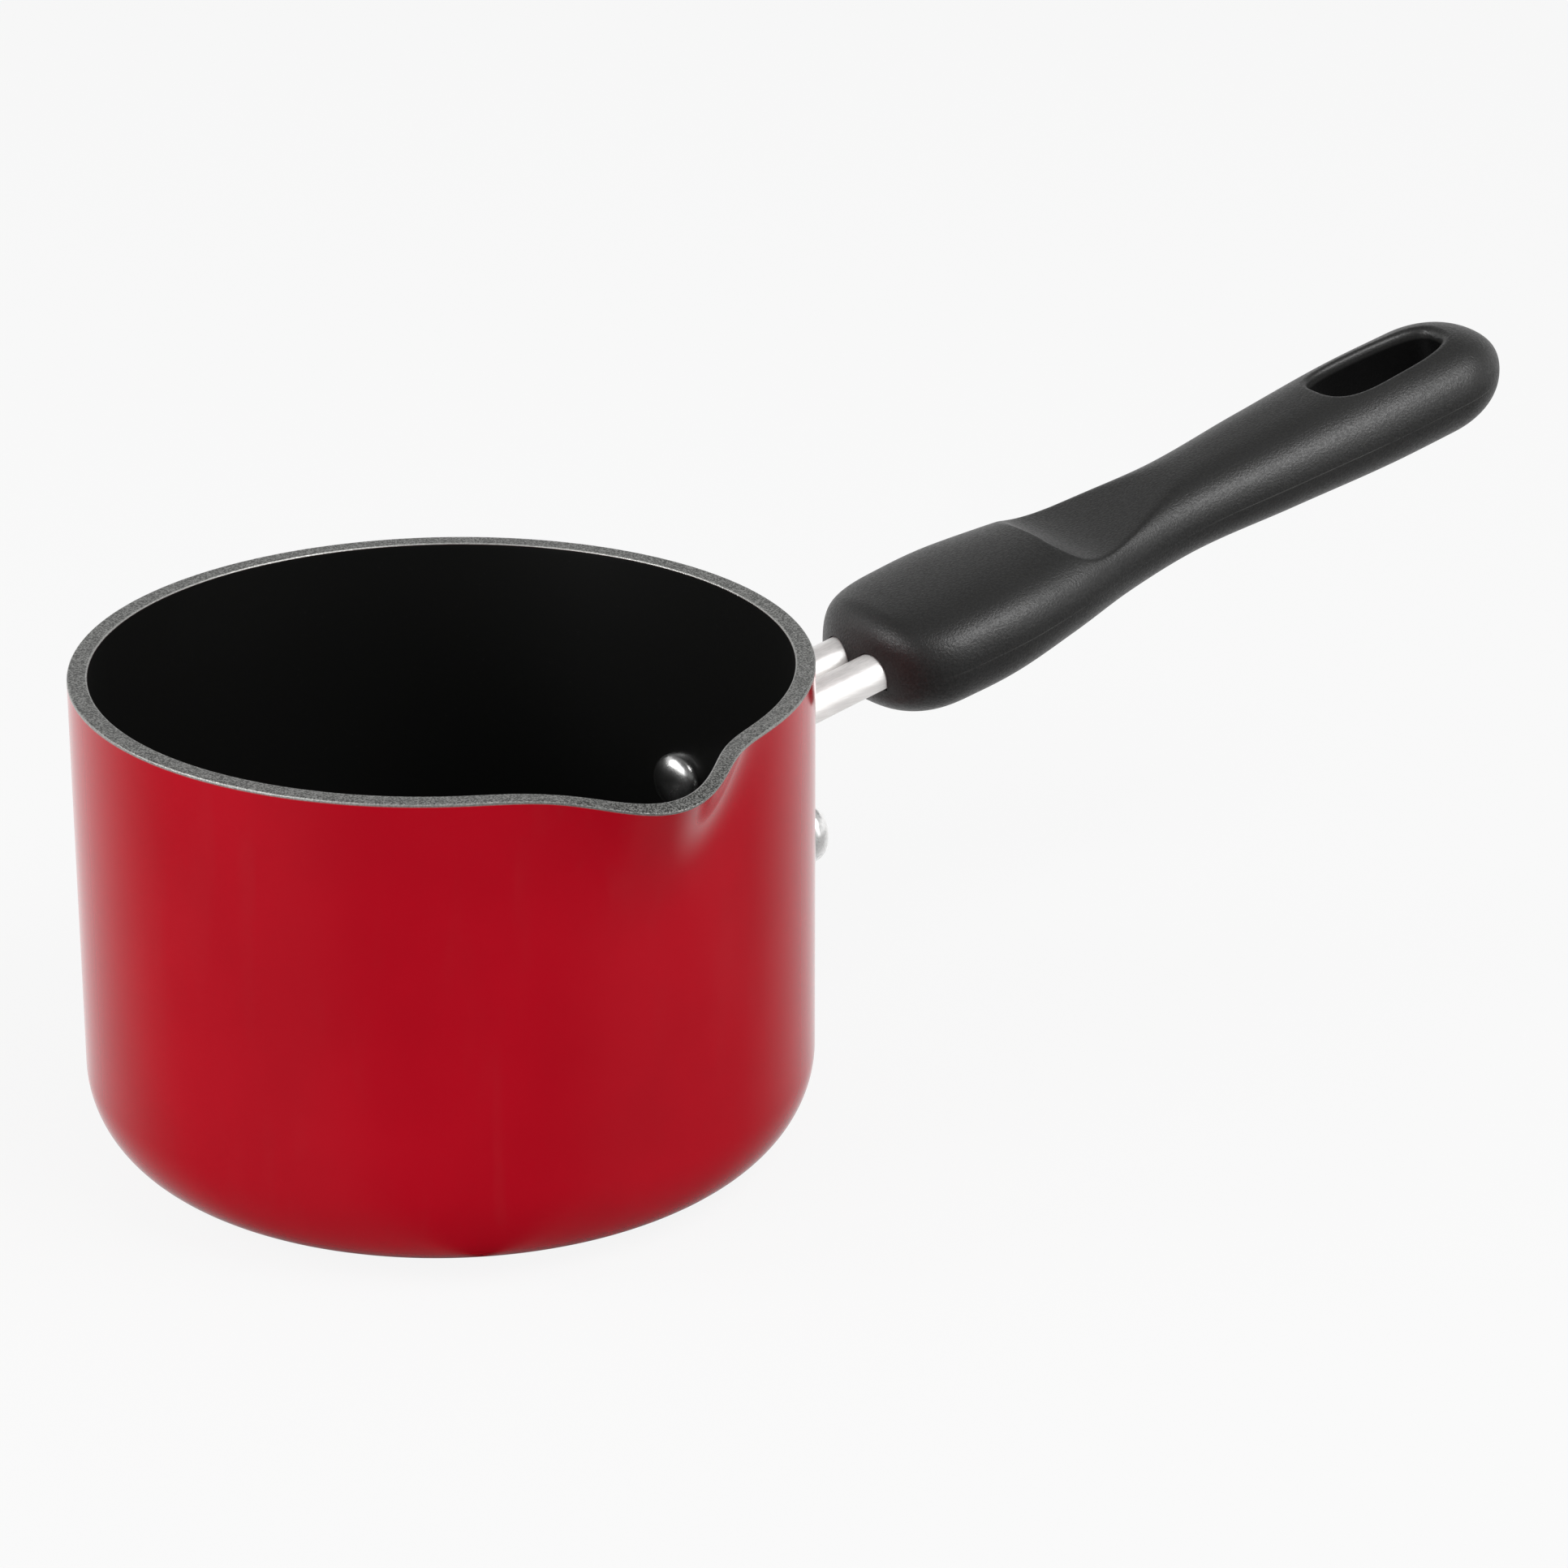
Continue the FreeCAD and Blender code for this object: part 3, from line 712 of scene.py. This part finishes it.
def gripHeight(place, height):
    # the skin's height after the hollow behind the ledge is taken out of its top:
    # crown - depth * (1 - e^(-behind / fall)), and well clear of the skin ahead of the ledge
    ledge, table = grip["ledgePlace"], np.array(grip["sections"])
    crown = smoothCurve(place, table[:, 0], table[:, 2])
    deep = grip["ledgeDepth"] * softStep((grip["scoopEnd"] - place) / (grip["scoopEnd"] - ledge))
    behind = np.maximum(place - ledge, 0)
    ahead = 1 - softStep((place - ledge + grip["ledgeLead"]) / grip["ledgeRun"])
    floor = crown - deep * (1 - np.exp(-behind / grip["ledgeFall"])) + grip["ledgeClear"] * ahead
    return softMin(height, floor, grip["ledgeSoft"])


def gripHalf(side):
    # half of the skin, from the top's middle line or the slot's edge, round the side, to the bottom's;
    # the section is a Bezier quarter above and below, and its top edge rolls into the slot on an arc
    stations, front, back = gripStations()
    upright = softStep((stations - front + grip["leanLead"]) / grip["leanRun"])
    upright = upright * softStep((grip["length"] - stations) / grip["leanTail"])
    noseShare = softStep((grip["noseEnd"] - stations) / grip["noseFade"])
    full = grip["fullness"] + grip["noseFullness"] * noseShare
    t = np.linspace(0, 1, grip["halfPoints"])
    along = np.linspace(0, 1, grip["curvePoints"])
    narrowing = 1 - sectionCurve(along, grip["fullness"])[0]
    edge = slotHalf(stations)
    skins = []
    for above in (True, False):
        sign = 1 if above else -1
        place = stations[:, None] + 0 * t
        for settle in range(grip["leanRounds"]):
            half, rise, fall = gripSizes(np.clip(place, 0, grip["length"]))
            cut = np.interp(1 - edge / half[:, -1], narrowing, along)
            s = cut[:, None] * (1 - (1 - t) ** grip["sideCrowding"])[None, :]
            w, h = sectionCurve(s, full[:, None])
            y, height = half * w, (rise if above else fall) * h
            if above:
                height = gripHeight(place, height)
            height = np.maximum(height, 0)
            place = stations[:, None] - sign * leanShare * height * upright[:, None]
        y[:, -1] = edge
        gap = slotDistance(stations[:, None] + 0 * t, y)
        r = grip["slotRound"]
        into = np.clip(r - gap, 0, r)
        height = height - (r - np.sqrt(np.maximum(r ** 2 - into ** 2, 0)))
        x = handleLine["start"] + place
        skins.append(np.stack([x, side * y, parting(x) + sign * height], axis=-1))
    top, bottom = skins
    skin = np.concatenate([top[:, ::-1], bottom[:, 1:]], axis=1)
    high = skin[..., 2] - parting(skin[..., 0])
    inside = (stations >= front - tiny) & (stations <= back + tiny)
    down = np.linspace(0, 1, grip["wallPoints"])[None, :, None]
    wall = skin[inside, :1] * (1 - down) + skin[inside, -1:] * down
    # the slot's walls carry the mark that brings painted shade; their edge rows keep the skin's height
    deep = np.full(wall.shape[:2], grip["hollowShadeMark"])
    deep[:, 0], deep[:, -1] = high[inside, 0], high[inside, -1]
    return skin, high, wall, deep


def gripCaps(skins):
    # one point closes the nose and one the tip
    caps = []
    for skin in skins:
        for row in (0, -1):
            middle = np.array([skin[row, :, 0].mean(), 0.0, skin[row, :, 2].mean()])
            rim = skin[row]
            caps.append(np.stack([rim, np.broadcast_to(middle, rim.shape)]))
    return caps


def gripGrids():
    # the two halves of the skin, the slot's walls and the caps
    grids, skins = [], []
    for side in (-1, 1):
        skin, high, wall, deep = gripHalf(side)
        skins.append(skin)
        grids += [(skin, False, high), (wall, False, deep)]
    grids += [(cap, False, grip["capMark"]) for cap in gripCaps(skins)]
    return grids


gripLooks = dict(
    dark=(0.006, 0.006, 0.0058, 1), light=(0.017, 0.017, 0.0165, 1), grain=1950.0, levels=(0.3, 0.72),
    worn=(0.018, 0.018, 0.0175, 1), wornShare=0.25, cloud=30.0, stroke=260.0,
    seamLight=(0.06, 0.06, 0.057, 1), seam=0.06, seamFade=2.2, seamShare=0.55, seamLift=0.22,
    # painted shade in the slot, the bracket's mouth and the screw recess: a darker colour and a weaker
    # reflection, from just inside the edge
    hollowShade=(0.003, 0.003, 0.003, 1), hollowShadeMarks=(14.0, 28.0), hollowShadeGloss=0.2,
    rough=0.41, dullest=0.08, shiniest=0.06, gloss=0.5, bump=0.9, bumpDepth=0.00011,
)


def gripMaterial(values):
    # satin moulded black with a fine grain and a hair-thin line where the mould parted; painted shade in the
    # slot and the cuts, darker and with a weaker reflection
    material, tree, shader, place = newMaterial("gripMoulding")
    mark = markNode(tree)
    grain = grainNode(tree, place, values["grain"], values["levels"])
    cloud = wipeNode(tree, place, values)["Cloud"]
    seam = rangeNode(tree, mathNode(tree, "ABSOLUTE", mark),
                     values["seam"], values["seam"] * values["seamFade"], 1.0, 0.0)
    body = mixColour(tree, grain["Speck"], values["dark"], values["light"])
    body = mixColour(tree, mathNode(tree, "MULTIPLY", cloud, values["wornShare"]), body, values["worn"])
    broken = mathNode(tree, "MULTIPLY", seam, mathNode(tree, "MULTIPLY", cloud, values["seamShare"]))
    colour = mixColour(tree, broken, body, values["seamLight"])
    # painted shade: darker inside the slot and the cuts
    hollowShade = rangeNode(tree, mark, *values["hollowShadeMarks"])
    colour = mixColour(tree, hollowShade, colour, values["hollowShade"])
    tree.links.new(colour, shader.inputs["Base Color"])
    rough = mixValue(tree, grain["Speck"], values["rough"] + values["dullest"],
                     values["rough"] - values["shiniest"])
    tree.links.new(rough, shader.inputs["Roughness"])
    # the painted shade also weakens the reflection in the slot and the cuts
    gloss = mixValue(tree, hollowShade, values["gloss"], values["gloss"] * values["hollowShadeGloss"])
    tree.links.new(gloss, shader.inputs["Specular IOR Level"])
    lift = mathNode(tree, "ADD", grain["Soft"], mathNode(tree, "MULTIPLY", seam, values["seamLift"]))
    bumpNode(tree, shader, lift, values)
    return material


# the room cut for the bracket at the nose, and for the screw from below
mouth = dict(gap=0.25, ahead=9.0, deep=10.0, screwPlace=131.5, recessRadius=5.0, recessDeep=26.0, seat=6.2)


def mouthSkin():
    # the bracket's outline with a little room, filled below and carried into the nose
    half, outer = bracket["ribRadius"] + bracket["ribGap"] / 2, bracket["ribRadius"] + mouth["gap"]
    low = -bracket["ribSkirt"] - mouth["gap"]
    loop = np.concatenate([
        straight((-half - outer, low), (-half - outer, 0), count=4)[:-1],
        arcPoints(-half, 0, outer, 180, 0, count=25),
        arcPoints(half, 0, outer, 180, 0, count=25),
        straight((half + outer, 0), (half + outer, low), count=4)[1:],
        straight((half + outer, low), (-half - outer, low), count=8)[1:-1],
    ])
    first, last = -mouth["ahead"], mouth["deep"]
    x = handleLine["start"] + np.array([first, first, 0.0, last, last])[:, None]
    hold = np.array([0.0, 1.0, 1.0, 1.0, 0.0])[:, None]
    y = loop[None, :, 0] * hold
    z = parting(x) - bracket["neckDrop"] + loop[None, :, 1] * hold
    return np.stack([x + 0 * y, y, z], axis=-1)


def recessSkin():
    # a round bar along the screw's line, square to the parting plane
    turn = np.linspace(0, 2 * np.pi, 64, endpoint=False)[None, :]
    lean = math.radians(handleLine["tilt"])
    up = np.array([-math.sin(lean), 0, math.cos(lean)])
    along = np.array([math.cos(lean), 0, math.sin(lean)])
    radius = np.array([0, 1, 1, 0])[:, None] * mouth["recessRadius"]
    low, high = -mouth["recessDeep"], -mouth["seat"]
    height = np.array([low, low, high, high])[:, None]
    middle = np.array([mouth["screwPlace"], 0, parting(mouth["screwPlace"])])
    aside = np.array([0, 1.0, 0])
    spoke = (radius * np.cos(turn))[..., None] * along + (radius * np.sin(turn))[..., None] * aside
    return middle + spoke + (height + 0 * turn)[..., None] * up


gripPiece = makePiece("gripHandle", gripGrids(), grip["sharpAngle"], grip["weld"])
for cutName, cutSkin in (("mouthCut", mouthSkin()), ("recessCut", recessSkin())):
    # the cutters carry the same mark, so the cut faces get painted shade too
    cutter = makePiece(cutName, [(cutSkin, True, grip["hollowShadeMark"])])
    cutAway(gripPiece, cutter, grip["sharpAngle"])
dress(gripPiece, gripMaterial(gripLooks))
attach(gripPiece, "root")
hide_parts("handle")
print("grip made")


# Hidden fixing, shown as the model has it

for nodeName, finish in (("threaded_insert", brass), ("handle_screw", steel), ("spring_washer", steel)):
    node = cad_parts[nodeName]
    node.data.materials.clear()
    node.data.materials.append(finish)
print("fixing dressed")


# Studio

studio = dict(
    floorSize=4.0, floorDrop=0.0002, floorPoints=9, paper=(0.85, 0.85, 0.85, 1),
    backdrop=0.94, floorHold=0.95,
    # what shiny skins see of the floor: dark towards the camera, pale away from it, and one pale card
    front=(-0.439, -0.898, 0.0), frontStart=(-0.026, -0.054, 0.0),
    floorNear=0.012, nearTurn=(0.5, 0.95), floorSide=0.16, floorFar=1.0, farTurn=(-0.92, -0.08),
    card=(0.19, -0.12, 0.0), cardSize=0.1, cardFade=(0.5, 1.5), cardLevel=0.22,
    # what they see of the room: pale low down, darker overhead and in front
    skyLow=0.95, skyHigh=0.16, skyBand=(0.2, 0.7), skyFront=0.35, frontTurn=(-0.3, 0.7), roomLevel=0.55,
)


def makeFloor():
    # a flat square, its shadow softened for the camera and for mirrors, clear when seen from below
    n = studio["floorPoints"]
    side = np.linspace(-studio["floorSize"], studio["floorSize"], n)
    x, y = np.meshgrid(side, side)
    points = np.stack([x, y, 0 * x - studio["floorDrop"]], axis=-1).reshape(-1, 3)
    mesh = bpy.data.meshes.new("studioFloor")
    mesh.from_pydata(points.tolist(), [], gridFaces(n, n, False, 0)[:, ::-1].tolist())
    floor = bpy.data.objects.new("studioFloor", mesh)
    bpy.context.scene.collection.objects.link(floor)
    material = bpy.data.materials.new("studioPaper")
    material.use_nodes = True
    tree = material.node_tree
    tree.nodes.clear()
    plain = addNode(tree, "ShaderNodeBsdfDiffuse", {"Color": studio["paper"]})
    path = addNode(tree, "ShaderNodeLightPath")
    place = addNode(tree, "ShaderNodeTexCoord").outputs["Object"]
    heading = vectorNode(tree, "NORMALIZE", vectorNode(tree, "SUBTRACT", place, studio["frontStart"]))
    ahead = vectorNode(tree, "DOT_PRODUCT", heading, studio["front"])
    mirrored = rangeNode(tree, ahead, *studio["farTurn"], studio["floorFar"], studio["floorSide"])
    shade = rangeNode(tree, ahead, *studio["nearTurn"], 1.0, studio["floorNear"] / studio["floorSide"])
    mirrored = mathNode(tree, "MULTIPLY", mirrored, shade)
    away = vectorNode(tree, "DISTANCE", place, studio["card"])
    cardFull, cardEnd = (studio["cardSize"] * share for share in studio["cardFade"])
    card = rangeNode(tree, away, cardFull, cardEnd, studio["cardLevel"], 0.0)
    mirrored = mathNode(tree, "MAXIMUM", mirrored, card)
    tone = mixValue(tree, path.outputs["Is Glossy Ray"], studio["backdrop"], mirrored)
    tone = addNode(tree, "ShaderNodeCombineColor", {0: tone, 1: tone, 2: tone}).outputs[0]
    glow = addNode(tree, "ShaderNodeEmission", {"Color": tone, "Strength": 1.0})
    seen = mathNode(tree, "MAXIMUM", path.outputs["Is Camera Ray"], path.outputs["Is Transmission Ray"])
    share = mathNode(tree, "MULTIPLY", seen, studio["floorHold"])
    share = mathNode(tree, "MAXIMUM", share, path.outputs["Is Glossy Ray"])
    both = addNode(tree, "ShaderNodeMixShader", {0: share})
    tree.links.new(plain.outputs[0], both.inputs[1])
    tree.links.new(glow.outputs[0], both.inputs[2])
    below = addNode(tree, "ShaderNodeNewGeometry").outputs["Backfacing"]
    oneSided = addNode(tree, "ShaderNodeMixShader", {0: below})
    tree.links.new(both.outputs[0], oneSided.inputs[1])
    tree.links.new(addNode(tree, "ShaderNodeBsdfTransparent").outputs[0], oneSided.inputs[2])
    end = addNode(tree, "ShaderNodeOutputMaterial")
    tree.links.new(oneSided.outputs[0], end.inputs[0])
    mesh.materials.append(material)


def makeWorld():
    # an even pale room; mirrored, it is darker overhead and where the photographer stands
    world = bpy.data.worlds.new("studioRoom")
    bpy.context.scene.world = world
    world.use_nodes = True
    tree = world.node_tree
    tree.nodes.clear()
    heading = addNode(tree, "ShaderNodeTexCoord").outputs["Generated"]
    ahead = vectorNode(tree, "DOT_PRODUCT", heading, studio["front"])
    height = addNode(tree, "ShaderNodeSeparateXYZ", {0: heading}).outputs["Z"]
    room = rangeNode(tree, height, *studio["skyBand"], studio["skyLow"], studio["skyHigh"])
    shade = rangeNode(tree, ahead, *studio["frontTurn"], 1.0, studio["skyFront"])
    room = mathNode(tree, "MULTIPLY", room, shade)
    path = addNode(tree, "ShaderNodeLightPath")
    seen = mathNode(tree, "MAXIMUM", path.outputs["Is Camera Ray"], path.outputs["Is Transmission Ray"])
    level = mixValue(tree, path.outputs["Is Glossy Ray"], studio["roomLevel"], room)
    level = mixValue(tree, seen, level, studio["backdrop"])
    tone = addNode(tree, "ShaderNodeCombineColor", {0: level, 1: level, 2: level}).outputs[0]
    sky = addNode(tree, "ShaderNodeBackground", {"Color": tone, "Strength": 1.0})
    end = addNode(tree, "ShaderNodeOutputWorld")
    tree.links.new(sky.outputs[0], end.inputs[0])


lamps = dict(
    overhead=dict(place=(0.42, -0.7, 1.02), aim=(0.12, 0.0, 0.08), size=(0.9, 0.6), power=11.5),
    backLeft=dict(place=(-1.0, 0.45, 0.75), aim=(0.1, 0.0, 0.08), size=(0.4, 0.5), power=6.5),
    left=dict(place=(-1.35, -0.2, 0.5), aim=(0.0, 0.0, 0.05), size=(0.6, 1.0), power=8.6),
    right=dict(place=(0.75, -1.25, 0.75), aim=(0.0, 0.0, 0.05), size=(0.5, 1.1), power=3.0),
)


def makeLamp(name, values):
    light = bpy.data.lights.new(name, "AREA")
    light.shape = "RECTANGLE"
    light.size, light.size_y = values["size"]
    light.energy = values["power"]
    lamp = bpy.data.objects.new(name, light)
    place = Vector(values["place"])
    turn = (Vector(values["aim"]) - place).to_track_quat("-Z", "Y")
    lamp.matrix_world = Matrix.Translation(place) @ turn.to_matrix().to_4x4()
    bpy.context.scene.collection.objects.link(lamp)


view = dict(place=(-0.51528, -0.88502, 0.4930), ahead=(0.51772, 0.76755, -0.37794),
            up=(0.21134, 0.31333, 0.92583), right=(0.82904, -0.55919, 0.0), lens=126.7, sensor=36.0,
            clipStart=0.05)


def makeCamera():
    camera = bpy.data.cameras.new("photoView")
    camera.lens = view["lens"]
    camera.sensor_width = view["sensor"]
    camera.sensor_fit = "HORIZONTAL"
    camera.clip_start = view["clipStart"]
    piece = bpy.data.objects.new("photoView", camera)
    right, up, ahead = Vector(view["right"]), Vector(view["up"]), Vector(view["ahead"])
    turn = Matrix((right, up, -ahead)).transposed().to_4x4()
    piece.matrix_world = Matrix.Translation(Vector(view["place"])) @ turn
    bpy.context.scene.collection.objects.link(piece)
    bpy.context.scene.camera = piece


makeFloor()
makeWorld()
for lampName, lampValues in lamps.items():
    makeLamp(lampName, lampValues)
makeCamera()
bpy.context.scene.view_settings.view_transform = "Standard"
print("studio set")

bpy.context.view_layer.update()
